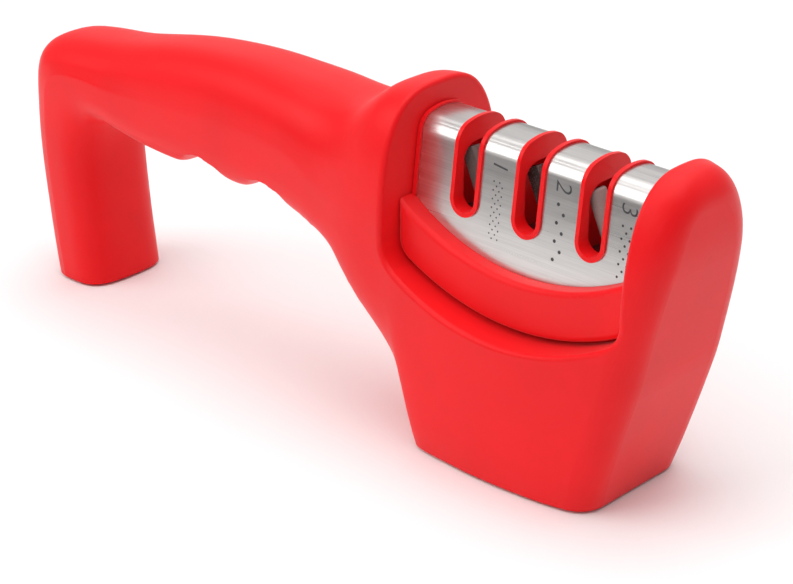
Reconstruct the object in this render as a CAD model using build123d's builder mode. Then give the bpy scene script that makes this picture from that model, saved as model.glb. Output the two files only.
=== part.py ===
from build123d import *
import os
from math import copysign, cos, pi, radians, sin, sqrt, tan

# Pull through knife sharpener, in millimetres. X runs from the leg at the far end of the
# handle to the front of the head, Y is across the body, Z is up, and Z = 0 is the table.
# The origin is under the middle of the body's length.

# Overall sizes
body_length = 202.4
body_height = 80.5
handle_width = 26.0
head_width = 43.0
front_wall = 9.0
rear_wall = 9.0
cradle_length = 64.6
overrun = 6.0

# Fits
running_gap = 0.3
sliding_gap = 0.1
rim_round = 1.0

# Body outline
base_lift = 0.7
base_overhang = 17.8
front_bend_in = 7.0
front_bend_z = 31.5
front_bend_round = 45.0
front_top_in = 0.5
front_top_z = 62.0
front_edge_round = 7.0
finger_depth = 6.6
finger_pitch = 22.5
finger_count = 2
finger_ridge_z = 41.8
finger_start = 49.8
finger_run_out = 15.0
finger_run_drop = 2.4
finger_round_shares = [(0, 0), (0.3, 0.5), (0.6, 1), (0.86, 0.55)]

# Cradle and the well under it
cradle_floor_z = 34.6
cradle_arc_radius = 60.0
cradle_corner_radius = 7.0
well_length = 56.0
well_width = 22.0
well_floor_z = 26.0
well_round = 3.5
floor_wall = 2.4

# Underside of the head and its base plate
base_recess_length = 40.0
base_recess_width = 29.0
base_recess_round = 7.0
base_recess_in = 5.0
base_plate_thickness = 2.2
base_pad_thickness = 1.2
pad_inset = 1.0
pad_edge = 0.4
boss_diameter = 7.0
boss_spacing_x = 28.0
boss_spacing_y = 17.0
screw_diameter = 2.3
screw_gap = 0.1
screw_head_diameter = 4.8
screw_length = 9.0
screw_slot_width = 0.8
screw_slot_depth = 0.6
screw_slot_cross = 2.4
tip_gap = 0.4

# Leg
foot_recess_length = 11.0
foot_recess_width = 18.0
foot_recess_round = 3.5
foot_recess_height = 18.0
foot_inset = 12.8
foot_lean = 7.0
foot_plate_thickness = 2.2
foot_boss_diameter = 6.0
foot_pad_thickness = 1.2
foot_screw_length = 8.0

# Cartridge
band_width = 28.4
band_gap = 1.1
band_low_radius = 62.0
band_corner_radius = 5.5
band_edge_round = 1.3
cover_low_z = 47.0
cover_low_radius = 58.0
cover_low_half = 10.3
cover_shoulder_half = 7.0
cover_shoulder_z = 73.2
cover_crown_z = 74.8
cover_shoulder_round = 4.5
cover_sheet = 0.6
seat_gap = 0.05
end_plate = 0.9
end_plate_proud = 0.5
bay_length = 15.0
bay_width = 13.0
bay_top_z = 70.8
tub_top_in = 1.0
cartridge_plate_thickness = 2.2
cartridge_plate_round = 3.2
cartridge_screw_spacing_x = 50.0
cartridge_screw_spacing_y = 16.6
cartridge_screw_length = 8.0

# Knife slots and their liners
slot_pitch = 17.3
slot_width = 5.8
slot_bottom_z = 56.2
liner_wall = 1.0
liner_lip = 0.5
window_width = 12.0
window_top_z = 70.0
window_round = 4.0

# Abrasives and their holders
cross_z = 59.3
abrasive_tilt = 25.0
reach_up = 10.0
reach_down = 10.5
ceramic_thickness = 2.6
ceramic_gap = 2.2
coarse_thickness = 2.2
coarse_gap = 0.8
blade_width = 4.5
blade_bevel = 0.6
rod_diameter = 4.2
rod_gap = 0.4
rod_end_round = 0.7
holder_top_z = 53.5
holder_hollow_top_z = 42.0
holder_wall = 1.6
holder_edge = 0.8

# Where the body's main planes fall
front_x = body_length / 2
back_x = -body_length / 2
front_inner_x = front_x - front_wall
rear_inner_x = front_inner_x - cradle_length
rear_back_x = rear_inner_x - rear_wall
head_middle_x = (front_inner_x + rear_inner_x) / 2
handle_length = rear_back_x - back_x
head_length = front_x - rear_back_x
base_front_x = front_x - base_overhang

# Each station is a cross-section of the body: the low and the top point of its side view,
# its width, where it is widest, and how square it is below and above that. Lengthwise, a share
# up to 1 runs along the handle and one past 1 along the head. Heights are shares of the body's
# height. A width share of 0 is the handle's width and 1 the head's.
station_shares = [
    (0.205, -0.137, 0.038, -0.025, -0.05, 0.50, 3.2, 3.0),
    (0.191, -0.012, 0.024, 0.106, -0.03, 0.50, 3.2, 3.0),
    (0.178, 0.118, 0.012, 0.242, -0.02, 0.50, 3.2, 3.0),
    (0.168, 0.242, 0.002, 0.379, -0.01, 0.50, 3.2, 3.0),
    (0.160, 0.360, -0.004, 0.509, 0.00, 0.50, 3.2, 2.9),
    (0.160, 0.462, -0.003, 0.643, 0.01, 0.50, 3.2, 2.8),
    (0.180, 0.538, 0.013, 0.755, 0.03, 0.50, 3.2, 2.65),
    (0.220, 0.566, 0.097, 0.800, 0.04, 0.49, 3.2, 2.5),
    (0.278, 0.548, 0.207, 0.821, 0.05, 0.46, 3.2, 2.5),
    (0.345, 0.530, 0.308, 0.850, 0.06, 0.43, 3.2, 2.6),
    (0.433, 0.522, 0.416, 0.882, 0.09, 0.42, 3.2, 2.65),
    (0.530, 0.520, 0.523, 0.901, 0.13, 0.42, 3.2, 2.7),
    (0.629, 0.522, 0.624, 0.909, 0.18, 0.42, 3.2, 2.7),
    (0.735, 0.524, 0.717, 0.906, 0.26, 0.42, 3.2, 2.7),
    (0.838, 0.490, 0.800, 0.900, 0.38, 0.42, 3.2, 2.7),
    (0.934, 0.376, 0.873, 0.892, 0.53, 0.44, 3.2, 2.78),
    (1.065, 0.240, 0.938, 0.908, 0.70, 0.50, 3.2, 2.95),
    (1.180, 0.075, 1.000, 0.976, 0.77, 0.54, 3.3, 3.0),
    (1.235, -0.140, 1.115, 1.000, 0.84, 0.57, 3.7, 3.05),
    (1.325, -0.170, 1.275, 1.000, 0.91, 0.57, 4.1, 3.3),
    (1.435, -0.170, 1.415, 1.000, 0.95, 0.57, 4.4, 3.3),
    (1.555, -0.170, 1.555, 0.998, 0.95, 0.57, 4.2, 3.3),
    (1.672, -0.170, 1.700, 0.995, 0.89, 0.57, 3.7, 3.2),
    (1.793, -0.170, 1.842, 0.985, 0.77, 0.57, 2.8, 2.9),
    (1.922, -0.170, 1.977, 0.964, 0.56, 0.57, 2.2, 2.6),
    (2.058, -0.170, 2.107, 0.934, 0.34, 0.57, 1.9, 2.4),
]
half_steps = 16


def along(share):
    """Lengthwise place of a share: 0 to 1 down the handle, 1 to 2 down the head."""
    if share <= 1:
        return back_x + share * handle_length
    return rear_back_x + (share - 1) * head_length


def half_outline(half_width, reach, widest, power, side):
    """Points over the top (side 1) or round the bottom (side -1) of a cross-section, along half
    of a superellipse, from one flank to the other."""
    points = [(side * half_width, widest)]
    for step in range(1, half_steps):
        turn = pi * step / half_steps
        across = copysign(half_width * abs(cos(turn)) ** (2 / power), cos(turn))
        points.append((side * across, widest + side * reach * sin(turn) ** (2 / power)))
    return points + [(-side * half_width, widest)]


def station(
    low_x_share, low_z_share, top_x_share, top_z_share, width_share, widest_share, low_power, top_power
):
    """One rounded cross-section of the body, through a low and a top point of its side view."""
    low = Vector(along(low_x_share), 0, low_z_share * body_height)
    top = Vector(along(top_x_share), 0, top_z_share * body_height)
    rise = (top - low).length
    widest = rise * widest_share
    half_width = (handle_width + width_share * (head_width - handle_width)) / 2
    over_top = half_outline(half_width, rise - widest, widest, top_power, 1)
    round_bottom = half_outline(half_width, widest, widest, low_power, -1)
    across = Vector(0, 1, 0)
    with BuildSketch(Plane(origin=low, x_dir=across, z_dir=across.cross(top - low))) as section:
        with BuildLine():
            Spline(*over_top, tangents=[(0, 1), (0, -1)])
            Spline(*round_bottom, tangents=[(0, -1), (0, 1)])
        make_face()
    return section.sketch


def arc_rise(radius, half_chord):
    """How far an arc's ends stand above its lowest point."""
    return radius - sqrt(radius**2 - half_chord**2)


cradle_half = cradle_length / 2
cradle_end_z = cradle_floor_z + arc_rise(cradle_arc_radius, cradle_half)
above_body = body_height + overrun
head_half_width = head_width / 2 + overrun
side_plane = Plane.XZ.shift_origin((head_middle_x, 0, 0))
leg_direction = (-tan(radians(foot_lean)), 0, 1)

# Heights of the parts in the underside, and the plan centre of the base
base_middle_x = base_front_x - base_recess_in - base_recess_length / 2
base_roof_z = well_floor_z - floor_wall
base_plate_top_z = base_pad_thickness + base_plate_thickness
foot_plate_top_z = foot_pad_thickness + foot_plate_thickness
screw_hole_radius = screw_diameter / 2 + screw_gap
finger_start_x = back_x + finger_start
finger_end_x = finger_start_x + finger_count * finger_pitch
finger_points = []
for groove in range(finger_count):
    for x_share, depth_share in finger_round_shares:
        groove_x = finger_start_x + (groove + x_share) * finger_pitch
        finger_points.append((groove_x, finger_ridge_z + depth_share * finger_depth))
finger_points.append((finger_end_x, finger_ridge_z))
run_out_x = finger_end_x + finger_run_out
run_out_z = finger_ridge_z - finger_run_drop

# The cartridge's outline inside the cradle and the well
band_half = cradle_half - running_gap
band_low_z = cradle_floor_z + band_gap
band_low_end_z = band_low_z + arc_rise(band_low_radius, band_half)
band_top_end_z = cover_low_z + arc_rise(cover_low_radius, band_half)
cover_half = band_half - end_plate - seat_gap
tub_length = well_length - 2 * running_gap
tub_width = well_width - 2 * running_gap
plate_low_z = well_floor_z + running_gap
plate_top_z = plate_low_z + cartridge_plate_thickness
slot_offsets = [-slot_pitch, 0, slot_pitch]
liner_width = slot_width + 2 * liner_wall
liner_bottom_z = slot_bottom_z - liner_wall

# Screws, their places and the plates they hold
upright = (Align.CENTER, Align.CENTER, Align.MIN)
screw_head_height = (screw_head_diameter - screw_diameter) / 2
hole_reach = base_plate_thickness + foot_plate_thickness + cartridge_plate_thickness
corner_signs = [(-1, -1), (1, -1), (-1, 1), (1, 1)]
base_spots = [
    (base_middle_x + sx * boss_spacing_x / 2, sy * boss_spacing_y / 2) for sx, sy in corner_signs
]
cartridge_spots = [
    (head_middle_x + sx * cartridge_screw_spacing_x / 2, sy * cartridge_screw_spacing_y / 2)
    for sx, sy in corner_signs
]
foot_spots = [(back_x + foot_inset, 0)]
base_plate_length = base_recess_length - 2 * sliding_gap
base_plate_width = base_recess_width - 2 * sliding_gap
base_pad_length = base_plate_length - 2 * pad_inset
base_pad_width = base_plate_width - 2 * pad_inset
foot_plug_length = foot_recess_length - 2 * sliding_gap
foot_plug_width = foot_recess_width - 2 * sliding_gap
foot_pad_length = foot_plug_length - 2 * pad_inset
foot_pad_width = foot_plug_width - 2 * pad_inset

# Cover outline, seen along X, and the arcs that bound the band, seen along Y
cover_slope = (cover_low_half - cover_shoulder_half) / (cover_shoulder_z - cover_low_z)


def cover_outline(x, grow):
    """The cover's cross-section at a place along X, filled in and grown by a margin."""
    low_z = cover_low_z - overrun
    low_half = cover_low_half + overrun * cover_slope
    with BuildSketch(Plane.YZ.offset(x)) as outline:
        with BuildLine():
            Polyline(
                (cover_shoulder_half, cover_shoulder_z),
                (low_half, low_z),
                (-low_half, low_z),
                (-cover_shoulder_half, cover_shoulder_z),
            )
            ThreePointArc(
                (-cover_shoulder_half, cover_shoulder_z),
                (0, cover_crown_z),
                (cover_shoulder_half, cover_shoulder_z),
            )
        make_face()
        fillet(outline.vertices().sort_by(Axis.Y)[-2:], cover_shoulder_round)
        offset(amount=grow)
    return outline.sketch


def foot_plane_at(z):
    """A level plane whose origin is the middle of the leaning leg at that height."""
    return Plane.XY.shift_origin((back_x + foot_inset - z * tan(radians(foot_lean)), 0, 0)).offset(z)


def above_arc(margin):
    """A disc, seen along Y, whose lower edge is the cover's lower arc moved down by a margin."""
    with BuildSketch(side_plane) as disc:
        with Locations((0, cover_low_z + cover_low_radius)):
            Circle(cover_low_radius + margin)
    return disc.sketch


def slot_outline(width, bottom_z):
    """Three upright slots, seen along Y, with round bottoms and open tops."""
    radius = width / 2
    with BuildSketch(side_plane) as slots:
        with Locations(*[(place, bottom_z + radius) for place in slot_offsets]):
            Circle(radius)
            Rectangle(width, above_body - bottom_z - radius, align=(Align.CENTER, Align.MIN))
    return slots.sketch


liner_seats = slot_outline(liner_width + 2 * seat_gap, liner_bottom_z - seat_gap)


def screw_group(spots, low_z, length):
    """Countersunk screws pointing up, their heads flush with a height."""
    with BuildPart() as group:
        with Locations(*[(x, y, low_z) for x, y in spots]):
            Cone(screw_head_diameter / 2, screw_diameter / 2, screw_head_height, align=upright)
            Cylinder(screw_diameter / 2, length, align=upright)
            Box(screw_head_diameter, screw_slot_width, screw_slot_depth, align=upright, mode=Mode.SUBTRACT)
            Box(screw_slot_width, screw_slot_cross, screw_slot_depth, align=upright, mode=Mode.SUBTRACT)
    return group.part


def screw_holes(spots, low_z):
    """Countersunk holes for such screws, to cut out of a plate."""
    with BuildPart() as holes:
        with Locations(*[(x, y, low_z) for x, y in spots]):
            Cone(screw_head_diameter / 2 + screw_gap, screw_hole_radius, screw_head_height, align=upright)
            Cylinder(screw_hole_radius, hole_reach, align=upright)
    return holes.part


def is_front_edge(edge):
    """Whether an edge lies at the body's front end."""
    return edge.bounding_box().min.X > base_front_x - overrun


def is_cradle_rim(edge):
    """Whether an edge belongs to the rim of the cradle, along its sides and over both walls."""
    reach = edge.bounding_box()
    between_walls = reach.min.X > rear_inner_x - rim_round and reach.max.X < front_inner_x + rim_round
    return between_walls and reach.min.Z > cradle_floor_z - rim_round


with BuildPart() as handle_body:
    loft([station(*row) for row in station_shares])
    split(bisect_by=Plane.XY.offset(base_lift), keep=Keep.TOP)

    # Front end: leans out from the base, bends, and stands nearly upright at the top
    with BuildSketch(Plane.XZ) as front_cut:
        with BuildLine():
            FilletPolyline(
                (base_front_x - base_lift, -overrun),
                (front_x - front_bend_in, front_bend_z),
                (front_x - front_top_in, front_top_z),
                (front_x, above_body),
                radius=front_bend_round,
            )
            Polyline(
                (front_x, above_body),
                (front_x + head_length, above_body),
                (front_x + head_length, -overrun),
                (base_front_x - base_lift, -overrun),
            )
        make_face()
    extrude(amount=head_half_width, both=True, mode=Mode.SUBTRACT)
    front_edges = handle_body.edges().filter_by(GeomType.BSPLINE)
    fillet(front_edges.filter_by(is_front_edge), front_edge_round)

    # Finger grooves under the handle
    with BuildSketch(Plane.XZ) as finger_cut:
        with BuildLine():
            Spline(*finger_points, tangents=[(1, 0), (1, 0)])
            Polyline(
                finger_points[-1],
                (run_out_x, run_out_z),
                (run_out_x, run_out_z - overrun),
                (finger_end_x, run_out_z - overrun),
                (finger_points[0][0], finger_points[0][1] - overrun),
                finger_points[0],
            )
        make_face()
    extrude(amount=head_half_width, both=True, mode=Mode.SUBTRACT)

    # Hollow under the head, with four screw bosses standing down into it
    with BuildSketch(Plane.XY) as base_cut:
        with Locations((base_middle_x, 0)):
            RectangleRounded(base_recess_length, base_recess_width, base_recess_round)
    extrude(amount=base_roof_z, mode=Mode.SUBTRACT)
    with BuildSketch(Plane.XY.offset(base_plate_top_z)) as bosses:
        with Locations(*base_spots):
            Circle(boss_diameter / 2)
    extrude(amount=base_roof_z - base_plate_top_z + sliding_gap)
    with BuildSketch(Plane.XY.offset(base_plate_top_z)) as boss_holes:
        with Locations(*base_spots):
            Circle(screw_hole_radius)
    extrude(amount=screw_length, mode=Mode.SUBTRACT)

    # Hollow in the leg, with one screw boss
    with BuildSketch(foot_plane_at(0)) as foot_cut:
        RectangleRounded(foot_recess_length, foot_recess_width, foot_recess_round)
    extrude(amount=foot_recess_height, dir=leg_direction, mode=Mode.SUBTRACT)
    with BuildSketch(foot_plane_at(foot_plate_top_z)) as foot_boss:
        Circle(foot_boss_diameter / 2)
    extrude(amount=foot_recess_height - foot_plate_top_z + sliding_gap, dir=leg_direction)
    with BuildSketch(Plane.XY.offset(foot_plate_top_z)) as foot_boss_hole:
        with Locations(*foot_spots):
            Circle(screw_hole_radius)
    extrude(amount=foot_screw_length, mode=Mode.SUBTRACT)

    # Cradle, open to the top and to both sides
    with BuildSketch(side_plane) as cradle_cut:
        with BuildLine():
            ThreePointArc(
                (-cradle_half, cradle_end_z),
                (0, cradle_floor_z),
                (cradle_half, cradle_end_z),
            )
            Polyline(
                (cradle_half, cradle_end_z),
                (cradle_half, above_body),
                (-cradle_half, above_body),
                (-cradle_half, cradle_end_z),
            )
        make_face()
        fillet(cradle_cut.vertices().sort_by(Axis.Y)[:2], cradle_corner_radius)
    extrude(amount=head_half_width, both=True, mode=Mode.SUBTRACT)
    rim_edges = handle_body.edges().filter_by(is_cradle_rim)
    fillet(rim_edges, rim_round)

    # Well under the cradle
    with BuildSketch(Plane.XY.offset(well_floor_z)) as well_cut:
        with Locations((head_middle_x, 0)):
            RectangleRounded(well_length, well_width, well_round)
    extrude(amount=cradle_end_z - well_floor_z, mode=Mode.SUBTRACT)

# Core under the cover, with an end plate against each wall of the cradle
with BuildPart() as core:
    extrude(cover_outline(head_middle_x, -cover_sheet - seat_gap), amount=band_half, both=True)
    for side in (-1, 1):
        extrude(cover_outline(head_middle_x + side * band_half, end_plate_proud), amount=-side * end_plate)
    extrude(above_arc(tub_top_in), amount=band_width, both=True, mode=Mode.INTERSECT)

# Cartridge frame: the band that fills the cradle, the core and the tub that stands in the
# well, all one moulding with three bays through it
with BuildPart() as cartridge_frame:
    with BuildSketch(side_plane) as band_outline:
        with BuildLine():
            ThreePointArc((-band_half, band_low_end_z), (0, band_low_z), (band_half, band_low_end_z))
            Line((band_half, band_low_end_z), (band_half, band_top_end_z))
            ThreePointArc((band_half, band_top_end_z), (0, cover_low_z), (-band_half, band_top_end_z))
            Line((-band_half, band_top_end_z), (-band_half, band_low_end_z))
        make_face()
        fillet(band_outline.vertices().sort_by(Axis.Y)[:2], band_corner_radius)
    extrude(amount=band_width / 2, both=True)
    band_edges = cartridge_frame.edges().group_by(Axis.Y)
    fillet(band_edges[0] + band_edges[-1], band_edge_round)
    add(core.part)

    # Tub
    with BuildSketch(Plane.XY.offset(plate_top_z)) as tub_outline:
        with Locations((head_middle_x, 0)):
            RectangleRounded(tub_length, tub_width, cartridge_plate_round)
    extrude(amount=cover_low_z - tub_top_in - plate_top_z)

    # Bays, liner seats and holes for the screws of the bottom plate
    with BuildSketch(Plane.XY.offset(plate_top_z)) as bays:
        with Locations(*[(head_middle_x + place, 0) for place in slot_offsets]):
            Rectangle(bay_length, bay_width)
    extrude(amount=bay_top_z - plate_top_z, mode=Mode.SUBTRACT)
    extrude(liner_seats, amount=band_width, both=True, mode=Mode.SUBTRACT)
    with BuildSketch(Plane.XY.offset(plate_top_z)) as frame_screw_holes:
        with Locations(*cartridge_spots):
            Circle(screw_hole_radius)
    extrude(amount=cartridge_screw_length, mode=Mode.SUBTRACT)

# Steel cover: a bent sheet over the core, its lower edges cut to an arc
with BuildPart() as steel_cover:
    extrude(cover_outline(head_middle_x, 0), amount=cover_half, both=True)
    inside = cover_outline(head_middle_x, -cover_sheet)
    extrude(inside, amount=cover_half + overrun, both=True, mode=Mode.SUBTRACT)
    extrude(above_arc(-seat_gap), amount=band_width, both=True, mode=Mode.INTERSECT)
    extrude(liner_seats, amount=band_width, both=True, mode=Mode.SUBTRACT)


def slot_liner(place):
    """A U-shaped liner right across the cover at one slot, with a window for the abrasives."""
    x = head_middle_x + place
    middle_z = slot_bottom_z + slot_width / 2
    rise = above_body - middle_z
    standing = (Align.CENTER, Align.MIN)
    with BuildPart() as liner:
        with BuildSketch(Plane.XZ.shift_origin((x, 0, 0))) as u_shape:
            with Locations((0, middle_z)):
                Circle(liner_width / 2)
                Rectangle(liner_width, rise, align=standing)
                Circle(slot_width / 2, mode=Mode.SUBTRACT)
                Rectangle(slot_width, rise, align=standing, mode=Mode.SUBTRACT)
        extrude(amount=band_width, both=True)
        extrude(cover_outline(x, liner_lip), amount=bay_length, both=True, mode=Mode.INTERSECT)
        with BuildSketch(Plane.YZ.offset(x)) as window:
            with Locations((0, window_top_z)):
                Rectangle(window_width, window_top_z - cover_low_z, align=(Align.CENTER, Align.MAX))
            fillet(window.vertices().sort_by(Axis.Y)[-2:], window_round)
        extrude(amount=bay_length, both=True, mode=Mode.SUBTRACT)
    return liner.part


# Slot liners, from the handle towards the front
with BuildPart() as slot_guide_1:
    add(slot_liner(slot_offsets[0]))

with BuildPart() as slot_guide_2:
    add(slot_liner(slot_offsets[1]))

with BuildPart() as slot_guide_3:
    add(slot_liner(slot_offsets[2]))


def abrasive_plane(place, side, spacing):
    """A plane square to one abrasive of a crossing pair, at the height where the two cross."""
    lean = side * radians(abrasive_tilt)
    origin = (head_middle_x + place, side * spacing / 2, cross_z)
    return Plane(origin=origin, x_dir=(cos(lean), 0, -sin(lean)), z_dir=(sin(lean), 0, cos(lean)))


def blade(place, side, thickness, gap):
    """One flat abrasive blade of a crossing pair, its long edges bevelled."""
    with BuildPart() as piece:
        with BuildSketch(abrasive_plane(place, side, thickness + gap).offset(-reach_down)):
            Rectangle(blade_width, thickness)
        extrude(amount=reach_down + reach_up)
        long_edges = piece.edges().sort_by(SortBy.LENGTH)[-4:]
        chamfer(long_edges, blade_bevel)
    return piece.part


def rod(place, side):
    """One round abrasive rod of a crossing pair, its ends rounded."""
    with BuildPart() as piece:
        with BuildSketch(abrasive_plane(place, side, rod_diameter + rod_gap).offset(-reach_down)):
            Circle(rod_diameter / 2)
        extrude(amount=reach_down + reach_up)
        fillet(piece.edges().filter_by(GeomType.CIRCLE), rod_end_round)
    return piece.part


# First slot: flat ceramic blades, for the finish
with BuildPart() as ceramic_blade_left:
    add(blade(slot_offsets[0], -1, ceramic_thickness, ceramic_gap))

with BuildPart() as ceramic_blade_right:
    add(blade(slot_offsets[0], 1, ceramic_thickness, ceramic_gap))

# Second slot: flat diamond-coated blades, the coarse stage
with BuildPart() as coarse_blade_left:
    add(blade(slot_offsets[1], -1, coarse_thickness, coarse_gap))

with BuildPart() as coarse_blade_right:
    add(blade(slot_offsets[1], 1, coarse_thickness, coarse_gap))

# Third slot: round rods, the fine stage
with BuildPart() as fine_rod_left:
    add(rod(slot_offsets[2], -1))

with BuildPart() as fine_rod_right:
    add(rod(slot_offsets[2], 1))


def blade_socket(thickness):
    """Outline of the socket for a blade."""
    with BuildSketch() as socket:
        Rectangle(blade_width + 2 * seat_gap, thickness + 2 * seat_gap)
    return socket.sketch


def rod_socket():
    """Outline of the socket for a rod."""
    with BuildSketch() as socket:
        Circle(rod_diameter / 2 + seat_gap)
    return socket.sketch


def holder(place, socket, spacing):
    """A block that stands on the bottom plate in its bay and holds two abrasives."""
    x = head_middle_x + place
    outer_length = bay_length - 2 * sliding_gap
    outer_width = bay_width - 2 * sliding_gap
    with BuildPart() as block:
        with BuildSketch(Plane.XY.offset(plate_top_z)):
            with Locations((x, 0)):
                Rectangle(outer_length, outer_width)
        extrude(amount=holder_top_z - plate_top_z)
        chamfer(block.edges().group_by(Axis.Z)[-1], holder_edge)
        with BuildSketch(Plane.XY.offset(plate_top_z)):
            with Locations((x, 0)):
                Rectangle(outer_length - 2 * holder_wall, outer_width - 2 * holder_wall)
        extrude(amount=holder_hollow_top_z - plate_top_z, mode=Mode.SUBTRACT)
        for side in (-1, 1):
            with BuildSketch(abrasive_plane(place, side, spacing).offset(-reach_down)):
                add(socket)
            extrude(amount=reach_down, mode=Mode.SUBTRACT)
    return block.part


with BuildPart() as holder_1:
    add(holder(slot_offsets[0], blade_socket(ceramic_thickness), ceramic_thickness + ceramic_gap))

with BuildPart() as holder_2:
    add(holder(slot_offsets[1], blade_socket(coarse_thickness), coarse_thickness + coarse_gap))

with BuildPart() as holder_3:
    add(holder(slot_offsets[2], rod_socket(), rod_diameter + rod_gap))

# Bottom plate of the cartridge
with BuildPart() as cartridge_base:
    with BuildSketch(Plane.XY.offset(plate_low_z)) as cartridge_plate_outline:
        with Locations((head_middle_x, 0)):
            RectangleRounded(tub_length, tub_width, cartridge_plate_round)
    extrude(amount=cartridge_plate_thickness)
    add(screw_holes(cartridge_spots, plate_low_z), mode=Mode.SUBTRACT)

with BuildPart() as cartridge_screws:
    reach = cartridge_plate_thickness + cartridge_screw_length - tip_gap
    add(screw_group(cartridge_spots, plate_low_z, reach))

# Plate that closes the head from below, and its pad
with BuildPart() as base_plate:
    with BuildSketch(Plane.XY.offset(base_pad_thickness)) as base_plate_outline:
        with Locations((base_middle_x, 0)):
            RectangleRounded(base_plate_length, base_plate_width, base_recess_round - sliding_gap)
    extrude(amount=base_plate_thickness)
    add(screw_holes(base_spots, base_pad_thickness), mode=Mode.SUBTRACT)

with BuildPart() as base_pad:
    with BuildSketch(Plane.XY) as base_pad_outline:
        with Locations((base_middle_x, 0)):
            RectangleRounded(base_pad_length, base_pad_width, base_recess_round - pad_inset)
        with Locations(*base_spots):
            Circle(screw_head_diameter / 2 + pad_inset, mode=Mode.SUBTRACT)
    extrude(amount=base_pad_thickness)
    chamfer(base_pad.edges().group_by(Axis.Z)[0], pad_edge)

with BuildPart() as base_screws:
    add(screw_group(base_spots, base_pad_thickness, base_plate_thickness + screw_length - tip_gap))

# Plug that closes the leg from below, and its pad
with BuildPart() as foot_plug:
    with BuildSketch(foot_plane_at(foot_pad_thickness)) as foot_plug_outline:
        RectangleRounded(foot_plug_length, foot_plug_width, foot_recess_round - sliding_gap)
    extrude(amount=foot_plate_thickness, dir=leg_direction)
    add(screw_holes(foot_spots, foot_pad_thickness), mode=Mode.SUBTRACT)

with BuildPart() as foot_pad:
    with BuildSketch(foot_plane_at(0)) as foot_pad_outline:
        RectangleRounded(foot_pad_length, foot_pad_width, foot_recess_round - pad_inset)
        Circle(screw_head_diameter / 2 + pad_inset / 2, mode=Mode.SUBTRACT)
    extrude(amount=foot_pad_thickness)
    chamfer(foot_pad.edges().group_by(Axis.Z)[0], pad_edge)

with BuildPart() as foot_screw:
    add(screw_group(foot_spots, foot_pad_thickness, foot_plate_thickness + foot_screw_length - tip_gap))

# Every piece is its own node
handle_body.part.label = "handle_body"
cartridge_frame.part.label = "cartridge_frame"
steel_cover.part.label = "steel_cover"
slot_guide_1.part.label = "slot_guide_1"
slot_guide_2.part.label = "slot_guide_2"
slot_guide_3.part.label = "slot_guide_3"
ceramic_blade_left.part.label = "ceramic_blade_left"
ceramic_blade_right.part.label = "ceramic_blade_right"
coarse_blade_left.part.label = "coarse_blade_left"
coarse_blade_right.part.label = "coarse_blade_right"
fine_rod_left.part.label = "fine_rod_left"
fine_rod_right.part.label = "fine_rod_right"
holder_1.part.label = "holder_1"
holder_2.part.label = "holder_2"
holder_3.part.label = "holder_3"
cartridge_base.part.label = "cartridge_base"
cartridge_screws.part.label = "cartridge_screws"
base_plate.part.label = "base_plate"
base_pad.part.label = "base_pad"
base_screws.part.label = "base_screws"
foot_plug.part.label = "foot_plug"
foot_pad.part.label = "foot_pad"
foot_screw.part.label = "foot_screw"

os.makedirs("parts", exist_ok=True)
export_step(handle_body.part, "parts/handle_body.step")
export_step(cartridge_frame.part, "parts/cartridge_frame.step")
export_step(steel_cover.part, "parts/steel_cover.step")
export_step(slot_guide_1.part, "parts/slot_guide_1.step")
export_step(slot_guide_2.part, "parts/slot_guide_2.step")
export_step(slot_guide_3.part, "parts/slot_guide_3.step")
export_step(ceramic_blade_left.part, "parts/ceramic_blade_left.step")
export_step(ceramic_blade_right.part, "parts/ceramic_blade_right.step")
export_step(coarse_blade_left.part, "parts/coarse_blade_left.step")
export_step(coarse_blade_right.part, "parts/coarse_blade_right.step")
export_step(fine_rod_left.part, "parts/fine_rod_left.step")
export_step(fine_rod_right.part, "parts/fine_rod_right.step")
export_step(holder_1.part, "parts/holder_1.step")
export_step(holder_2.part, "parts/holder_2.step")
export_step(holder_3.part, "parts/holder_3.step")
export_step(cartridge_base.part, "parts/cartridge_base.step")
export_step(cartridge_screws.part, "parts/cartridge_screws.step")
export_step(base_plate.part, "parts/base_plate.step")
export_step(base_pad.part, "parts/base_pad.step")
export_step(base_screws.part, "parts/base_screws.step")
export_step(foot_plug.part, "parts/foot_plug.step")
export_step(foot_pad.part, "parts/foot_pad.step")
export_step(foot_screw.part, "parts/foot_screw.step")
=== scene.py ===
from math import atan2, cos, hypot, radians, sin, tan

import bpy
from mathutils import Matrix, Vector


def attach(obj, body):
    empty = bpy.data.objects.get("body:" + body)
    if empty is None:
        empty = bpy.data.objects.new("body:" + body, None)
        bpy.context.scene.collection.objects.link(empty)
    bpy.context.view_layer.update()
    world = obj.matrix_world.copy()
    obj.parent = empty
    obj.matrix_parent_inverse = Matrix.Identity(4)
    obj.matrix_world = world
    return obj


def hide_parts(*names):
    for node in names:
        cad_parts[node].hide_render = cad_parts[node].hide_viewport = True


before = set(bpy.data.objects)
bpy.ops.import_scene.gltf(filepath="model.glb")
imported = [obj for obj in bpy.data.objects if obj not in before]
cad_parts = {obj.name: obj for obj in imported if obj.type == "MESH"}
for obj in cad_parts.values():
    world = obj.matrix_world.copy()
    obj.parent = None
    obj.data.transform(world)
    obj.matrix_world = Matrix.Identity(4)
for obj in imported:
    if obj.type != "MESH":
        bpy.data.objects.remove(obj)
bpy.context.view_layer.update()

bl_info = {
    "name": "Pull Through Knife Sharpener",
    "version": (1, 0, 0),
    "blender": (4, 5, 0),
    "location": "View3D > Sidebar > Sharpener",
    "description": "Soft grip, finishes, slot marks and studio of a hand-held knife sharpener",
    "category": "Object",
}

MM = 0.001
BODY = "sharpener_body"
CARTRIDGE = "cartridge"

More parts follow.
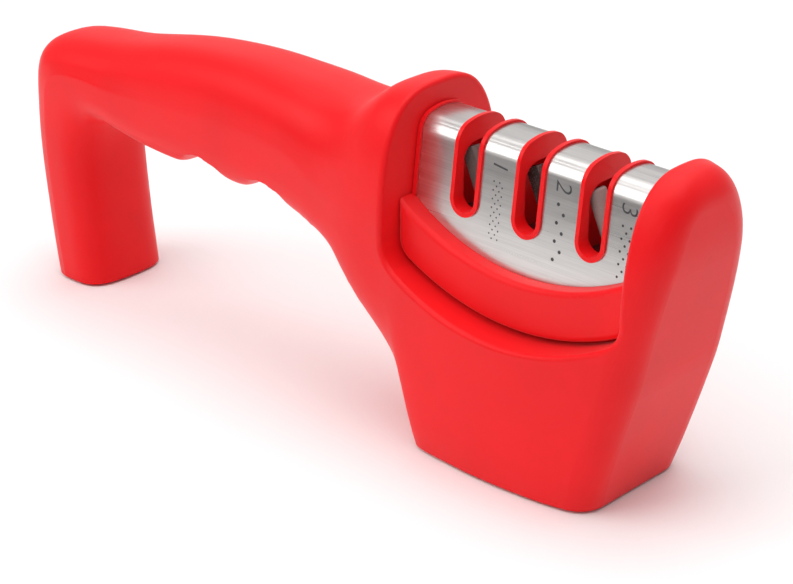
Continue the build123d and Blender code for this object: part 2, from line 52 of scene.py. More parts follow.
# The stretch of the handle whose finger ridges are softened, the size of its even faces, how many
# of them are made to spare at each end, and how close two points count as one
GRIP_FROM = -74.0 * MM
GRIP_TO = 20.0 * MM
GRIP_FACE = 0.5 * MM
GRIP_SPARE_FACES = 4
WELD_GAP = 0.0001 * MM
# The softening fades out over a blend's length, below the height where the ridges end and towards
# both ends of the stretch, where it stops a share of that length short
RIDGE_TOP_Z = 50.0 * MM
GRIP_BLEND = 5.0 * MM
GRIP_END_SHARE = 0.5
# How far one pass moves a point towards its neighbours, and from what softness and how often the
# ridges and the whole stretch are smoothed
PASS_SHARE = 0.5
RIDGE_SOFTNESS = 0.5
RIDGE_PASSES = 40
GRIP_SOFTNESS = 0.01
GRIP_PASSES = 4
# The step where the finger grooves run out, and how often it is smoothed out to each distance
RUN_OUT_X = 8.3 * MM
RUN_OUT_Z = 39.0 * MM
RUN_OUT_PASSES = [(14.0 * MM, 60), (11.0 * MM, 60), (8.0 * MM, 90)]

# The cover's flat side: half the cover's width and the height, at its lower edge and its shoulder
FLANK_LOW_HALF = 10.3 * MM
FLANK_LOW_Z = 47.0 * MM
FLANK_HIGH_HALF = 7.0 * MM
FLANK_HIGH_Z = 73.2 * MM
# Slope of its bow: what it starts with at the lower edge, and half of what it gains
FLANK_TILT_LOW = 0.01
FLANK_TILT_HIGH = 0.095

# Height of the marks' upper end, then the middle of each mark along X, the diameter of its dots,
# and how many dots it has across and along
MARK_TOP_Z = 70.4 * MM
MARKS = [
    (51.25 * MM, 0.42 * MM, 4, 14),
    (68.55 * MM, 0.85 * MM, 2, 7),
    (85.75 * MM, 0.6 * MM, 3, 10),
]
# Numbers, in shares of their height: the size of the text and how much thinner its strokes are,
# and its slant
NUMBER_SIZE_SHARE = 1.36
NUMBER_THINNING_SHARE = 0.018
NUMBER_SLANT = 0.12
# Dots, in shares of a number's height: where they start and how wide the field is
DOTS_START_SHARE = 1.15
DOTS_WIDTH_SHARE = 0.72
# One dot: corners, width of its top, and how much of its thickness is bevelled in how many steps
DOT_CORNERS = 20
DOT_TOP_SHARE = 0.94
DOT_BEVEL_SHARE = 0.3
DOT_BEVEL_STEPS = 2

# Side of the floor, and the camera's target, its sensor and the nearest thing that it sees
FLOOR_SIZE = 12.0
LOOK_AT = (0.01429, 0.0, 0.02512)
SENSOR_WIDTH_MM = 36.0
NEAREST_SEEN = 0.01
# Lamps: name, place, point aimed at, width, depth and power in watts
LAMPS = [
    ("top_box", (0.05, 0.05, 0.95), (0.0, 0.0, 0.0), 1.1, 1.1, 8.8),
    ("left_box", (-0.45, -0.68, 0.72), (0.0, 0.0, 0.03), 0.9, 0.6, 5.0),
    ("near_box", (0.45, -0.85, 0.6), (0.05, 0.0, 0.04), 0.8, 0.5, 1.35),
    ("right_box", (0.95, 0.1, 0.5), (0.05, 0.0, 0.04), 0.7, 0.5, 0.35),
    ("back_box", (-0.5, 0.7, 0.7), (0.0, 0.0, 0.04), 1.1, 0.8, 1.2),
]
# Light from all round: its strength from the near half and from straight behind, and the Y of the
# direction where it starts to grow from one to the other
WHITE = (1.0, 1.0, 1.0)
AIR_NEAR = 0.12
AIR_BEHIND = 0.45
AIR_TURNS_AT = 0.0

# Colours of what the panel leaves as it is, and the painted highlight on the tops of the grains in
# the grit
CERAMIC = (0.16, 0.14, 0.13)
CERAMIC_GLINTS = (0.26, 0.24, 0.23)
COARSE_GRIT = (0.1, 0.085, 0.08)
COARSE_GRIT_GLINTS = (0.3, 0.27, 0.26)
FINE_GRIT = (0.34, 0.28, 0.26)
FINE_GRIT_GLINTS = (0.46, 0.4, 0.37)
DARK_RED = (0.12, 0.012, 0.014)
BASE_BLACK = (0.02, 0.02, 0.021)
RUBBER_BLACK = (0.018, 0.018, 0.018)
ZINC = (0.5, 0.5, 0.51)
ETCHED_GREY = (0.05, 0.048, 0.05)
PAPER_WHITE = (0.97, 0.97, 0.97)

# A colour Mix node's sockets: factor, first and second colour, and the colour that comes out
MIX_FACTOR = 0
MIX_FIRST = 6
MIX_SECOND = 7
MIX_RESULT = 2
# Noise: its middle value, where most of it lies, and how finely clouds and grain are worked out
NOISE_MIDDLE = 0.5
NOISE_RANGE = (0.3, 0.7)
CLOUD_DETAIL = 3.0
GRAIN_DETAIL = 2.0


def fill(entry, value):
    """Gives a node's input a value or the output of another node."""
    if isinstance(value, Shade):
        value.tree.links.new(value.socket, entry)
    else:
        entry.default_value = value


class Shade:
    """One output in a node tree, or the bare tree. Sums and products on it add their nodes."""

    def __init__(self, tree, socket=None):
        self.tree = tree
        self.socket = socket

    def node(self, kind, settings=None, values=None, output=0):
        """Adds a node, gives it its settings and then its sockets, and returns one output."""
        node = self.tree.nodes.new(kind)
        for name, setting in (settings or {}).items():
            setattr(node, name, setting)
        for key, value in (values or {}).items():
            fill(node.inputs[key], value)
        return Shade(self.tree, node.outputs[output])

    def maths(self, operation, first, second):
        """A sum, difference or product."""
        return self.node("ShaderNodeMath", {"operation": operation}, {0: first, 1: second})

    def __add__(self, other):
        return self.maths("ADD", self, other)

    def __radd__(self, other):
        return self.maths("ADD", other, self)

    def __sub__(self, other):
        return self.maths("SUBTRACT", self, other)

    def __rsub__(self, other):
        return self.maths("SUBTRACT", other, self)

    def __mul__(self, other):
        return self.maths("MULTIPLY", self, other)

    def __rmul__(self, other):
        return self.maths("MULTIPLY", other, self)

    def between(self, low, high, how="SMOOTHSTEP"):
        """0 below one value, 1 above another, and smooth or LINEAR between them."""
        return self.node(
            "ShaderNodeMapRange",
            {"interpolation_type": how},
            {"Value": self, "From Min": low, "From Max": high},
        )

    def blend(self, first, second):
        """The first colour where this is 0 and the second where it is 1."""
        return self.node(
            "ShaderNodeMix",
            {"data_type": "RGBA"},
            {MIX_FACTOR: self, MIX_FIRST: first, MIX_SECOND: second},
            MIX_RESULT,
        )

    def stretched(self, scales):
        """This position, multiplied along each axis."""
        return self.node("ShaderNodeVectorMath", {"operation": "MULTIPLY"}, {0: self, 1: scales})

    def noise(self, scale=1.0, detail=GRAIN_DETAIL, roughness=0.5):
        """Cloudy noise at this position, with so many features to the metre."""
        return self.node(
            "ShaderNodeTexNoise",
            None,
            {"Vector": self, "Scale": scale, "Detail": detail, "Roughness": roughness},
        )

    def grains(self, scale):
        """Distance to the nearest of many scattered points, so many to the metre."""
        return self.node("ShaderNodeTexVoronoi", None, {"Vector": self, "Scale": scale})

    def part(self, axis):
        """One of a position's three numbers."""
        return self.node("ShaderNodeSeparateXYZ", None, {"Vector": self}, axis)

    def bump(self, strength, distance, under=None):
        """A normal that stands up where this is high, by so many metres, on top of another."""
        values = {"Height": self, "Strength": strength, "Distance": distance}
        if under is not None:
            values["Normal"] = under
        return self.node("ShaderNodeBump", None, values)


def opaque(colour, factor=1.0):
    """A colour made lighter or darker, with full alpha."""
    return tuple(min(1.0, part * factor) for part in colour) + (1.0,)


class Finish:
    """A material under construction: its surface, and the position that patterns are read at."""

    def __init__(self, name, colour, roughness, metallic=0.0):
        self.material = bpy.data.materials.new(name)
        self.material.use_nodes = True
        self.material.diffuse_color = opaque(colour)
        tree = self.material.node_tree
        self.surface = tree.nodes["Principled BSDF"]
        self.place = Shade(tree).node("ShaderNodeTexCoord", output="Object")
        self.set("Base Color", opaque(colour))
        self.set("Roughness", roughness)
        self.set("Metallic", metallic)

    def set(self, name, value):
        """Gives one input of the surface a value or a link."""
        fill(self.surface.inputs[name], value)

    def set_tones(self, mask, colour, tones):
        """Lets the colour go from one strength of itself to another as a mask goes from 0 to 1."""
        first, second = tones
        self.set("Base Color", mask.blend(opaque(colour, first), opaque(colour, second)))


# Mouldings: reflection, below that of bare hard plastic at 0.5, and their soft sheen
MOULDING_GLOSS = 0.2
MOULDING_SHEEN = 0.15
MOULDING_SHEEN_ROUGHNESS = 0.4
# Their clouds and their grain: how many to the metre, and what they change
MOULDING_CLOUDS = 38.0
MOULDING_CLOUD_TONES = (0.96, 1.04)
MOULDING_CLOUD_ROUGHNESS = 0.08
MOULDING_GRAINS = 4200.0
MOULDING_GRAIN_ROUGHNESS = 0.06
MOULDING_GRAIN_HEIGHT = 0.04 * MM


def soft_touch_plastic(name, colour, roughness, grain):
    """Satin moulding: a fine even grain, and broad faint changes of tone and gloss."""
    finish = Finish(name, colour, roughness)
    finish.set("Specular IOR Level", MOULDING_GLOSS)
    finish.set("Sheen Weight", MOULDING_SHEEN)
    finish.set("Sheen Roughness", MOULDING_SHEEN_ROUGHNESS)
    clouds = finish.place.noise(MOULDING_CLOUDS, CLOUD_DETAIL)
    grains = finish.place.noise(MOULDING_GRAINS)
    cloud_change = (clouds - NOISE_MIDDLE) * MOULDING_CLOUD_ROUGHNESS
    grain_change = (grains - NOISE_MIDDLE) * MOULDING_GRAIN_ROUGHNESS
    finish.set_tones(clouds.between(*NOISE_RANGE), colour, MOULDING_CLOUD_TONES)
    finish.set("Roughness", roughness + cloud_change + grain_change)
    finish.set("Normal", grains.bump(grain, MOULDING_GRAIN_HEIGHT))
    return finish.material


# Brushing: wide and thin streaks to the metre along X, Y and Z, how broken their edges are, and
# what they change
WIDE_STREAKS = (16.0, 700.0, 700.0)
THIN_STREAKS = (50.0, 3600.0, 3600.0)
STREAK_EDGE = 0.6
STREAK_TONES = (0.9, 1.08)
STREAK_ROUGHNESS = 0.2
STREAK_BUMP = 0.07
STREAK_HEIGHT = 0.03 * MM


def brushed_steel(name, colour, roughness):
    """Sheet brushed along its length, whose flat sides get a bump so that they shade as if they bow
    outwards a little.
    """
    finish = Finish(name, colour, roughness, metallic=1.0)
    wide = finish.place.stretched(WIDE_STREAKS).noise(detail=CLOUD_DETAIL, roughness=STREAK_EDGE)
    thin = finish.place.stretched(THIN_STREAKS).noise(roughness=STREAK_EDGE)
    streaks = (wide + thin) * 0.5
    finish.set_tones(streaks.between(*NOISE_RANGE), colour, STREAK_TONES)
    finish.set("Roughness", roughness + (streaks - NOISE_MIDDLE) * STREAK_ROUGHNESS)
    # 0 at the flank's lower edge and 1 at the shoulder; the bow grows with the square of it
    rise = finish.place.part("Z").between(FLANK_LOW_Z, FLANK_HIGH_Z, "LINEAR")
    bow = 1.0 - rise * FLANK_TILT_LOW - rise * rise * FLANK_TILT_HIGH
    bowed = bow.bump(1.0, FLANK_HIGH_Z - FLANK_LOW_Z)
    finish.set("Normal", streaks.bump(STREAK_BUMP, STREAK_HEIGHT, bowed))
    return finish.material


# Grit: from where to where a grain slopes, outwards from its middle, and what its top changes
GRAIN_SLOPE = (0.12, 0.5)
GRAIN_TOP_ROUGHNESS = -0.18
GRAIN_BUMP = 0.5
GRAIN_HEIGHT = 0.06 * MM
# Patches of grit whose grain tops get a painted highlight as glints, to the metre, and the noise
# that bounds them
GRIT_GLINT_PATCHES = 300.0
GRIT_GLINT_RANGE = (0.35, 0.65)


def gritty(name, colour, glint_colour, grains, roughness, metallic=0.0):
    """Abrasive face: scattered grains that stand up, some of them with a painted highlight on their
    tops.
    """
    finish = Finish(name, colour, roughness, metallic)
    tops = 1.0 - finish.place.grains(grains).between(*GRAIN_SLOPE)
    glint_patches = finish.place.noise(GRIT_GLINT_PATCHES, CLOUD_DETAIL).between(*GRIT_GLINT_RANGE)
    # Painted highlight: grain tops inside the patches get a lighter colour that stands in for
    # glints
    finish.set("Base Color", (tops * glint_patches).blend(opaque(colour), opaque(glint_colour)))
    finish.set("Roughness", roughness + tops * GRAIN_TOP_ROUGHNESS)
    finish.set("Normal", tops.bump(GRAIN_BUMP, GRAIN_HEIGHT))
    return finish.material


# Rubber: pebbles to the metre, from where to where each changes tone, and what they change; the
# tone is painted shade, darker between the pebbles and lighter on their tops
PEBBLES = 900.0
PEBBLE_RANGE = (0.1, 0.6)
PEBBLE_SHADE_TONES = (1.3, 0.8)
PEBBLE_ROUGHNESS = 0.15
PEBBLE_BUMP = 0.35
PEBBLE_HEIGHT = 0.15 * MM


def rubber(name, colour, roughness):
    """Matt rubber with a fine pebbled face, a little rougher between the pebbles and painted darker
    there as shade.
    """
    finish = Finish(name, colour, roughness)
    pebbles = finish.place.grains(PEBBLES)
    # Painted shade: darker between the pebbles, lighter on their tops
    finish.set_tones(pebbles.between(*PEBBLE_RANGE), colour, PEBBLE_SHADE_TONES)
    finish.set("Roughness", roughness + pebbles * PEBBLE_ROUGHNESS)
    finish.set("Normal", (1.0 - pebbles).bump(PEBBLE_BUMP, PEBBLE_HEIGHT))
    return finish.material


# Plating: spots of its mottle to the metre, and what they change
PLATING_SPOTS = 1500.0
PLATING_TONES = (0.85, 1.12)
PLATING_ROUGHNESS = 0.16
PLATING_BUMP = 0.15
PLATING_HEIGHT = 0.02 * MM


def plated_steel(name, colour, roughness):
    """Zinc-plated screw: turned rings are too small to see, so a mottled gloss."""
    finish = Finish(name, colour, roughness, metallic=1.0)
    mottle = finish.place.noise(PLATING_SPOTS, CLOUD_DETAIL)
    finish.set_tones(mottle.between(*NOISE_RANGE), colour, PLATING_TONES)
    finish.set("Roughness", roughness + (mottle - NOISE_MIDDLE) * PLATING_ROUGHNESS)
    finish.set("Normal", mottle.bump(PLATING_BUMP, PLATING_HEIGHT))
    return finish.material


# Etching: breaks to the metre along X, Y and Z, the noise that bounds them, and what they change
ETCHING_BREAKS = (2500.0, 40.0, 30.0)
ETCHING_RANGE = (0.35, 0.75)
ETCHING_TONES = (0.8, 1.7)
ETCHING_ROUGHNESS = 0.2
ETCHING_METALLIC = 0.3


def etched(name, colour, roughness):
    """Etched mark on the steel: dark, and slightly broken up."""
    finish = Finish(name, colour, roughness, ETCHING_METALLIC)
    breaks = finish.place.stretched(ETCHING_BREAKS).noise()
    finish.set_tones(breaks.between(*ETCHING_RANGE), colour, ETCHING_TONES)
    finish.set("Roughness", roughness + (breaks - NOISE_MIDDLE) * ETCHING_ROUGHNESS)
    return finish.material


# Paper: clouds to the metre, the noise that bounds them, and their tones
PAPER_CLOUDS = 9.0
PAPER_RANGE = (0.2, 0.8)
PAPER_TONES = (0.99, 1.01)


def studio_paper(name, colour, roughness):
    """Seamless paper: white, with the faintest mottle."""
    finish = Finish(name, colour, roughness)
    clouds = finish.place.noise(PAPER_CLOUDS)
    finish.set_tones(clouds.between(*PAPER_RANGE), colour, PAPER_TONES)
    return finish.material


class SharpenerColours(bpy.types.PropertyGroup):
    """Colours and gloss of the sharpener's pieces."""

    grip: bpy.props.FloatVectorProperty(
        name="Grip colour", description="Body and band", default=(0.87, 0.006, 0.01),
        subtype="COLOR", min=0.0, max=1.0,
    )
    slot: bpy.props.FloatVectorProperty(
        name="Slot colour", description="Liners of the knife slots", default=(0.85, 0.003, 0.006),
        subtype="COLOR", min=0.0, max=1.0,
    )
    steel: bpy.props.FloatVectorProperty(
        name="Steel colour", description="Brushed cover", default=(0.68, 0.655, 0.64),
        subtype="COLOR", min=0.0, max=1.0,
    )
    grip_roughness: bpy.props.FloatProperty(
        name="Grip roughness", description="How matt the body is", default=0.42, min=0.0, max=1.0,
        subtype="FACTOR",
    )
    band_roughness: bpy.props.FloatProperty(
        name="Band roughness", description="How matt the band is", default=0.39, min=0.0, max=1.0,
        subtype="FACTOR",
    )


class SharpenerMarks(bpy.types.PropertyGroup):
    """Numbers and grit dots etched beside the slots."""

    height: bpy.props.FloatProperty(
        name="Number height", description="Height of the numbers", default=4.4 * MM, unit="LENGTH",
    )
    thickness: bpy.props.FloatProperty(
        name="Mark thickness", description="How thick the etched marks are", default=0.05 * MM,
        unit="LENGTH",
    )
    dots_length: bpy.props.FloatProperty(
        name="Dot field length", description="Length of the dots below a number", default=13.0 * MM,
        unit="LENGTH",
    )


class SharpenerStudio(bpy.types.PropertyGroup):
    """Camera and light."""

    azimuth: bpy.props.FloatProperty(
        name="Camera azimuth", description="Turn of the view from the side of the sharpener",
        default=radians(43.0), unit="ROTATION",
    )
    elevation: bpy.props.FloatProperty(
        name="Camera elevation", description="Height of the view", default=radians(25.0),
        unit="ROTATION",
    )
    distance: bpy.props.FloatProperty(
        name="Camera distance", description="From the point looked at", default=0.56, unit="LENGTH",
    )
    lens: bpy.props.FloatProperty(
        name="Lens", description="Focal length in millimetres on a 36 mm sensor", default=110.4,
        unit="CAMERA",
    )
    light: bpy.props.FloatProperty(
        name="Light", description="Multiplies the lamps and the air", default=1.0, min=0.0,
    )


def deselect():
    """Leaves object mode with nothing selected."""
    if bpy.context.object and bpy.context.object.mode != "OBJECT":
        bpy.ops.object.mode_set(mode="OBJECT")
    bpy.ops.object.select_all(action="DESELECT")


def paint(nodes, material):
    """Gives CAD nodes a material, in the record's material slot."""
    for name in nodes:
        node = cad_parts[name]
        node.data.materials.clear()
        node.data.materials.append(material)


def add_piece(piece, name, material, body):
    """Names a finished piece, paints it and makes it ride on a body."""
    if not piece.data.polygons:
        raise RuntimeError(f"{name} came out without a face")
    piece.name = name
    piece.data.name = name
    piece.data.materials.clear()
    piece.data.materials.append(material)
    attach(piece, body)


def join(pieces):
    """Joins pieces into the first of them."""
    deselect()
    for piece in pieces:
        piece.select_set(True)
    bpy.context.view_layer.objects.active = pieces[0]
    bpy.ops.object.join()
    return pieces[0]


def trim(start, end, close):
    """Cuts away what lies outside two places along X, in edit mode."""
    for place, side in ((start, 1.0), (end, -1.0)):
        if place is not None:
            bpy.ops.mesh.select_all(action="SELECT")
            bpy.ops.mesh.bisect(
                plane_co=(place, 0.0, 0.0),
                plane_no=(side, 0.0, 0.0),
                clear_inner=True,
                use_fill=close,
            )


def cut_copy(name, start, end, weld=False):
    """A copy of a CAD node between two places along X, welded and closed where that is asked."""
    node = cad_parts[name]
    piece = node.copy()
    piece.data = node.data.copy()
    bpy.context.scene.collection.objects.link(piece)
    deselect()
    piece.select_set(True)
    bpy.context.view_layer.objects.active = piece
    bpy.ops.object.transform_apply(location=True, rotation=True, scale=True)
    bpy.ops.object.mode_set(mode="EDIT")
    if weld:
        bpy.ops.mesh.select_all(action="SELECT")
        bpy.ops.mesh.remove_doubles(threshold=WELD_GAP)
    trim(start, end, weld)
    bpy.ops.object.mode_set(mode="OBJECT")
    return piece


def softness(place):
    """1 on the finger ridges and 0 where the grip stays as it was, with a slope between."""
    from_ends = min(place.x - GRIP_FROM, GRIP_TO - place.x) / GRIP_BLEND - GRIP_END_SHARE
    from_top = (RIDGE_TOP_Z - place.z) / GRIP_BLEND
    return max(0.0, min(1.0, from_ends, from_top))


def from_run_out(place):
    """Distance, seen from the side, from the step where the finger grooves run out."""
    return hypot(place.x - RUN_OUT_X, place.z - RUN_OUT_Z)


def smooth_where(piece, wanted, passes):
    """Evens out the points of a piece whose place passes a test."""
    bpy.ops.object.mode_set(mode="EDIT")
    bpy.ops.mesh.select_mode(type="VERT")
    bpy.ops.mesh.select_all(action="DESELECT")
    bpy.ops.object.mode_set(mode="OBJECT")
    for vertex in piece.data.vertices:
        vertex.select = wanted(vertex.co)
    bpy.ops.object.mode_set(mode="EDIT")
    bpy.ops.mesh.vertices_smooth(factor=PASS_SHARE, repeat=passes)
    bpy.ops.object.mode_set(mode="OBJECT")


def even_grip():
    """The handle's gripped stretch, closed, made over in even faces and open again at its ends."""
    spare = GRIP_SPARE_FACES * GRIP_FACE
    grip = cut_copy("handle_body", GRIP_FROM - spare, GRIP_TO + spare, weld=True)
    even = grip.modifiers.new("even faces", "REMESH")
    even.mode = "VOXEL"
    even.voxel_size = GRIP_FACE
    even.use_smooth_shade = True
    bpy.ops.object.modifier_apply(modifier=even.name)
    bpy.ops.object.mode_set(mode="EDIT")
    bpy.ops.mesh.select_mode(type="VERT")
    trim(GRIP_FROM, GRIP_TO, False)
    bpy.ops.object.mode_set(mode="OBJECT")
    return grip


def keep_shading(grip):
    """Shades a grip as the handle's own mesh is shaded, except where the grip is softened."""
    kept = grip.vertex_groups.new(name="kept as it was")
    for vertex in grip.data.vertices:
        kept.add([vertex.index], 1.0 - softness(vertex.co), "REPLACE")
    shading = grip.modifiers.new("shading of the original", "DATA_TRANSFER")
    shading.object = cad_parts["handle_body"]
    shading.use_loop_data = True
    shading.data_types_loops = {"CUSTOM_NORMAL"}
    shading.loop_mapping = "POLYINTERP_NEAREST"
    shading.vertex_group = kept.name
    bpy.ops.object.modifier_apply(modifier=shading.name)


def soft_grip():
    """The handle's gripped stretch with its ridges between the fingers rounded."""
    grip = even_grip()
    smooth_where(grip, lambda place: softness(place) > RIDGE_SOFTNESS, RIDGE_PASSES)
    smooth_where(grip, lambda place: softness(place) > GRIP_SOFTNESS, GRIP_PASSES)
    for reach, passes in RUN_OUT_PASSES:
        smooth_where(
            grip,
            lambda place: from_run_out(place) < reach and softness(place) > GRIP_SOFTNESS,
            passes,
        )
    keep_shading(grip)
    return grip


class SHARPENER_OT_body(bpy.types.Operator):
    """Soft-touch red handle body with rounded finger ridges"""

    bl_idname = "sharpener.body"
    bl_label = "Handle body"

    def execute(self, context):
        colours = context.scene.sharpener_colours
        red = soft_touch_plastic(
            "Red soft-touch grip", colours.grip, colours.grip_roughness, grain=0.25
        )
        paint(["handle_body"], red)
        ends = [cut_copy("handle_body", None, GRIP_FROM), cut_copy("handle_body", GRIP_TO, None)]
        grip = join([soft_grip(), *ends])
        add_piece(grip, "soft_handle_body", red, BODY)
        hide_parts("handle_body")
        return {"FINISHED"}


class SHARPENER_OT_band(bpy.types.Operator):
    """Satin red frame of the cartridge, with its band"""

    bl_idname = "sharpener.band"
    bl_label = "Cartridge frame"

    def execute(self, context):
        colours = context.scene.sharpener_colours
        red = soft_touch_plastic("Red band", colours.grip, colours.band_roughness, grain=0.2)
        paint(["cartridge_frame"], red)
        return {"FINISHED"}


class SHARPENER_OT_cover(bpy.types.Operator):
    """Brushed steel cover"""

    bl_idname = "sharpener.cover"
    bl_label = "Steel cover"

    def execute(self, context):
        colours = context.scene.sharpener_colours
        steel = brushed_steel("Brushed steel", colours.steel, roughness=0.3)
        paint(["steel_cover"], steel)
        return {"FINISHED"}


class SHARPENER_OT_guides(bpy.types.Operator):
    """Deep red liners of the three knife slots"""

    bl_idname = "sharpener.guides"
    bl_label = "Slot liners"

    def execute(self, context):
        colours = context.scene.sharpener_colours
        red = soft_touch_plastic("Red slot liner", colours.slot, roughness=0.34, grain=0.12)
        paint(["slot_guide_1", "slot_guide_2", "slot_guide_3"], red)
        return {"FINISHED"}


class SHARPENER_OT_abrasives(bpy.types.Operator):
    """Ceramic, coarse and fine abrasives"""

    bl_idname = "sharpener.abrasives"
    bl_label = "Abrasives"

    def execute(self, context):
        # The second colour of each abrasive is a painted highlight on its grain tops
        ceramic = gritty("Grey ceramic", CERAMIC, CERAMIC_GLINTS, grains=5200.0, roughness=0.45)
        coarse = gritty(
            "Coarse grit",
            COARSE_GRIT,
            COARSE_GRIT_GLINTS,
            grains=2600.0,
            roughness=0.45,
            metallic=0.5,
        )
        fine = gritty("Fine grit", FINE_GRIT, FINE_GRIT_GLINTS, grains=5200.0, roughness=0.6)
        paint(["ceramic_blade_left", "ceramic_blade_right"], ceramic)
        paint(["coarse_blade_left", "coarse_blade_right"], coarse)
        paint(["fine_rod_left", "fine_rod_right"], fine)
        return {"FINISHED"}


class SHARPENER_OT_inside(bpy.types.Operator):
    """Dark mouldings inside the cartridge and under the base, pads and screws"""

    bl_idname = "sharpener.inside"
    bl_label = "Holders, plates, pads and screws"

    def execute(self, context):
        inner = soft_touch_plastic("Dark inner moulding", DARK_RED, roughness=0.5, grain=0.3)
        black = soft_touch_plastic("Black base moulding", BASE_BLACK, roughness=0.48, grain=0.3)
        pads = rubber("Black rubber", RUBBER_BLACK, roughness=0.75)
        plated = plated_steel("Plated screw", ZINC, roughness=0.36)
        paint(["holder_1", "holder_2", "holder_3", "cartridge_base"], inner)
        paint(["base_plate", "foot_plug"], black)
        paint(["base_pad", "foot_pad"], pads)
        paint(["base_screws", "foot_screw", "cartridge_screws"], plated)
        return {"FINISHED"}


def flank_place(middle_x):
    """Matrix from a mark drawn flat, reading along +X with its top at +Y, to the near flank."""
    lean = atan2(FLANK_LOW_HALF - FLANK_HIGH_HALF, FLANK_HIGH_Z - FLANK_LOW_Z)
    down = Vector((0.0, -sin(lean), -cos(lean)))
    out = Vector((0.0, -cos(lean), sin(lean)))
    up = out.cross(down)
    y = -FLANK_HIGH_HALF - (FLANK_HIGH_Z - MARK_TOP_Z) * tan(lean)
    place = Matrix((down, up, out)).transposed().to_4x4()
    place.translation = Vector((middle_x, y, MARK_TOP_Z))
    return place


def number_plate(text, marks):
    """One number as a thin plate, its reading direction along +X and centred on Y = 0."""
    deselect()
    bpy.ops.object.text_add(location=(0.0, 0.0, 0.0))
    number = bpy.context.object
    number.data.body = text
    number.data.size = marks.height * NUMBER_SIZE_SHARE
    number.data.shear = NUMBER_SLANT
    number.data.offset = -NUMBER_THINNING_SHARE * marks.height
    number.data.extrude = marks.thickness / 2
    number.data.align_y = "CENTER"
    bpy.ops.object.convert(target="MESH")
    return bpy.context.object


def one_dot(diameter, thickness):
    """An etched dot: a disc drawn up into a plate, with a narrower, bevelled top."""
    deselect()
    bpy.ops.mesh.primitive_circle_add(
        vertices=DOT_CORNERS,
        radius=diameter / 2,
        fill_type="NGON",
        location=(0.0, 0.0, -thickness / 2),
    )
    dot = bpy.context.object
    bpy.ops.object.transform_apply(location=True, rotation=True, scale=True)
    bpy.ops.object.mode_set(mode="EDIT")
    bpy.ops.mesh.select_all(action="SELECT")
    bpy.ops.mesh.extrude_region_move(TRANSFORM_OT_translate={"value": (0.0, 0.0, thickness)})
    bpy.ops.transform.resize(value=(DOT_TOP_SHARE, DOT_TOP_SHARE, 1.0))
    bpy.ops.mesh.bevel(
        offset=thickness * DOT_BEVEL_SHARE, segments=DOT_BEVEL_STEPS, affect="EDGES"
    )
    bpy.ops.mesh.select_all(action="SELECT")
    bpy.ops.mesh.normals_make_consistent(inside=False)
    bpy.ops.object.mode_set(mode="OBJECT")
    return dot


def dot_field(marks, diameter, across, along):
    """Staggered rows of dots after the number, copied from one that is modelled."""
    first = one_dot(diameter, marks.thickness)
    start = marks.height * DOTS_START_SHARE + diameter / 2
    step_along = (marks.dots_length - diameter) / (along - 1)
    step_across = marks.height * DOTS_WIDTH_SHARE / across
    dots = []
    for row in range(along):
        for column in range(row % 2, across, 2):
            dot = first.copy()
            dot.data = first.data.copy()
            bpy.context.scene.collection.objects.link(dot)
            x = start + row * step_along
            y = (column - (across - 1) / 2) * step_across
            dot.data.transform(Matrix.Translation((x, y, 0.0)))
            dots.append(dot)
    bpy.data.objects.remove(first)
    return dots


class SHARPENER_OT_marks(bpy.types.Operator):
    """Number and grit dots etched on the steel beside each slot"""

    bl_idname = "sharpener.marks"
    bl_label = "Slot marks"

    def execute(self, context):
        marks = context.scene.sharpener_marks
        dark = etched("Etched mark", ETCHED_GREY, roughness=0.52)
        for count, (middle_x, dot, across, along) in enumerate(MARKS, 1):
            number = number_plate(str(count), marks)
            piece = join([number, *dot_field(marks, dot, across, along)])
            piece.data.transform(flank_place(middle_x))
            add_piece(piece, f"slot_mark_{count}", dark, CARTRIDGE)
        return {"FINISHED"}


def add_air(scene, strength):
    """Light from all round, stronger from behind the object than from the near side."""
    world = bpy.data.worlds.new("Studio air")
    world.use_nodes = True
    background = world.node_tree.nodes["Background"]
    way = Shade(world.node_tree).node("ShaderNodeTexCoord", output="Generated")
    behind = way.part("Y").between(AIR_TURNS_AT, 1.0)
    air = behind.blend(opaque(WHITE, AIR_NEAR), opaque(WHITE, AIR_BEHIND))
    fill(background.inputs["Color"], air)
    fill(background.inputs["Strength"], strength)
    scene.world = world


def add_lamp(name, place, aim, width, depth, power):
    """A rectangular soft lamp that faces a point."""
    deselect()
    bpy.ops.object.light_add(type="AREA", location=place)
    lamp = bpy.context.object
    lamp.name = name
    lamp.rotation_euler = (Vector(aim) - Vector(place)).to_track_quat("-Z", "Y").to_euler()
    lamp.data.shape = "RECTANGLE"
    lamp.data.size = width
    lamp.data.size_y = depth
    lamp.data.energy = power


def add_camera(scene, studio):
    """The camera, looking at its target from the studio's azimuth, elevation and distance."""
    facing = Vector(
        (
            -sin(studio.azimuth) * cos(studio.elevation),
            cos(studio.azimuth) * cos(studio.elevation),
            -sin(studio.elevation),
        )
    )
    deselect()
    bpy.ops.object.camera_add(location=Vector(LOOK_AT) - facing * studio.distance)
    camera = bpy.context.object
    camera.rotation_euler = facing.to_track_quat("-Z", "Y").to_euler()
    camera.data.lens = studio.lens
    camera.data.sensor_width = SENSOR_WIDTH_MM
    camera.data.clip_start = NEAREST_SEEN
    camera.data.dof.use_dof = False
    scene.camera = camera


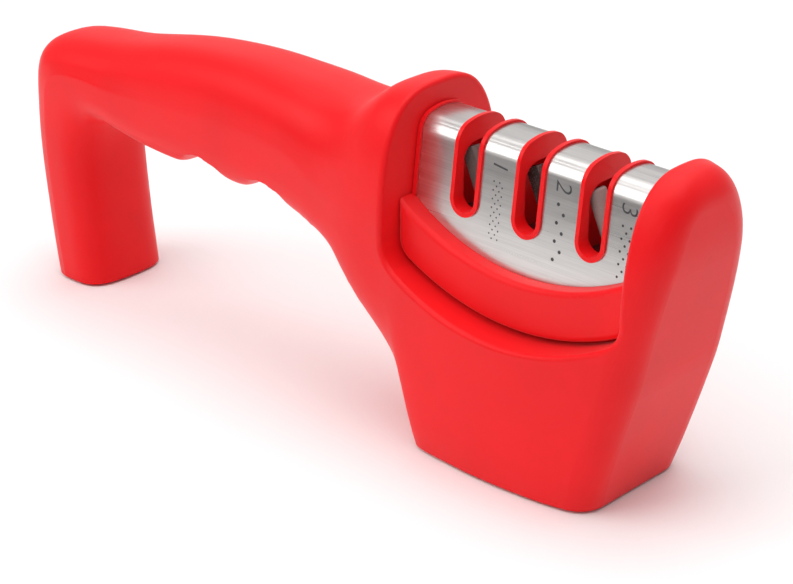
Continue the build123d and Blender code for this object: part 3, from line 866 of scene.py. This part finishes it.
class SHARPENER_OT_stage(bpy.types.Operator):
    """White floor, soft lamps and the camera"""

    bl_idname = "sharpener.stage"
    bl_label = "Studio"

    def execute(self, context):
        studio = context.scene.sharpener_studio
        deselect()
        bpy.ops.mesh.primitive_plane_add(size=FLOOR_SIZE, location=(0.0, 0.0, 0.0))
        floor = context.object
        floor.name = "floor"
        floor.data.materials.append(studio_paper("White paper", PAPER_WHITE, roughness=0.7))
        add_air(context.scene, studio.light)
        for name, place, aim, width, depth, power in LAMPS:
            add_lamp(name, place, aim, width, depth, power * studio.light)
        add_camera(context.scene, studio)
        context.scene.view_settings.view_transform = "Standard"
        return {"FINISHED"}


OPERATORS = [
    SHARPENER_OT_stage,
    SHARPENER_OT_body,
    SHARPENER_OT_band,
    SHARPENER_OT_cover,
    SHARPENER_OT_guides,
    SHARPENER_OT_abrasives,
    SHARPENER_OT_inside,
    SHARPENER_OT_marks,
]


class SHARPENER_PT_panel(bpy.types.Panel):
    """Settings and steps of the knife sharpener"""

    bl_idname = "SHARPENER_PT_panel"
    bl_label = "Knife sharpener"
    bl_space_type = "VIEW_3D"
    bl_region_type = "UI"
    bl_category = "Sharpener"

    def draw(self, context):
        for group in ("sharpener_colours", "sharpener_marks", "sharpener_studio"):
            box = self.layout.box()
            owner = getattr(context.scene, group)
            for name in owner.bl_rna.properties.keys():
                if name not in ("rna_type", "name"):
                    box.prop(owner, name)
        for operator in OPERATORS:
            self.layout.operator(operator.bl_idname)


CLASSES = [SharpenerColours, SharpenerMarks, SharpenerStudio, *OPERATORS, SHARPENER_PT_panel]


def register():
    """Registers the classes and gives scenes their settings."""
    for cls in CLASSES:
        bpy.utils.register_class(cls)
    bpy.types.Scene.sharpener_colours = bpy.props.PointerProperty(type=SharpenerColours)
    bpy.types.Scene.sharpener_marks = bpy.props.PointerProperty(type=SharpenerMarks)
    bpy.types.Scene.sharpener_studio = bpy.props.PointerProperty(type=SharpenerStudio)


def unregister():
    """Takes back what register did."""
    del bpy.types.Scene.sharpener_studio
    del bpy.types.Scene.sharpener_marks
    del bpy.types.Scene.sharpener_colours
    for cls in reversed(CLASSES):
        bpy.utils.unregister_class(cls)


def main():
    """Builds the studio and dresses the sharpener, piece by piece."""
    register()
    bpy.ops.sharpener.stage()
    bpy.ops.sharpener.body()
    bpy.ops.sharpener.band()
    bpy.ops.sharpener.cover()
    bpy.ops.sharpener.guides()
    bpy.ops.sharpener.abrasives()
    bpy.ops.sharpener.inside()
    bpy.ops.sharpener.marks()


if __name__ == "__main__":
    main()
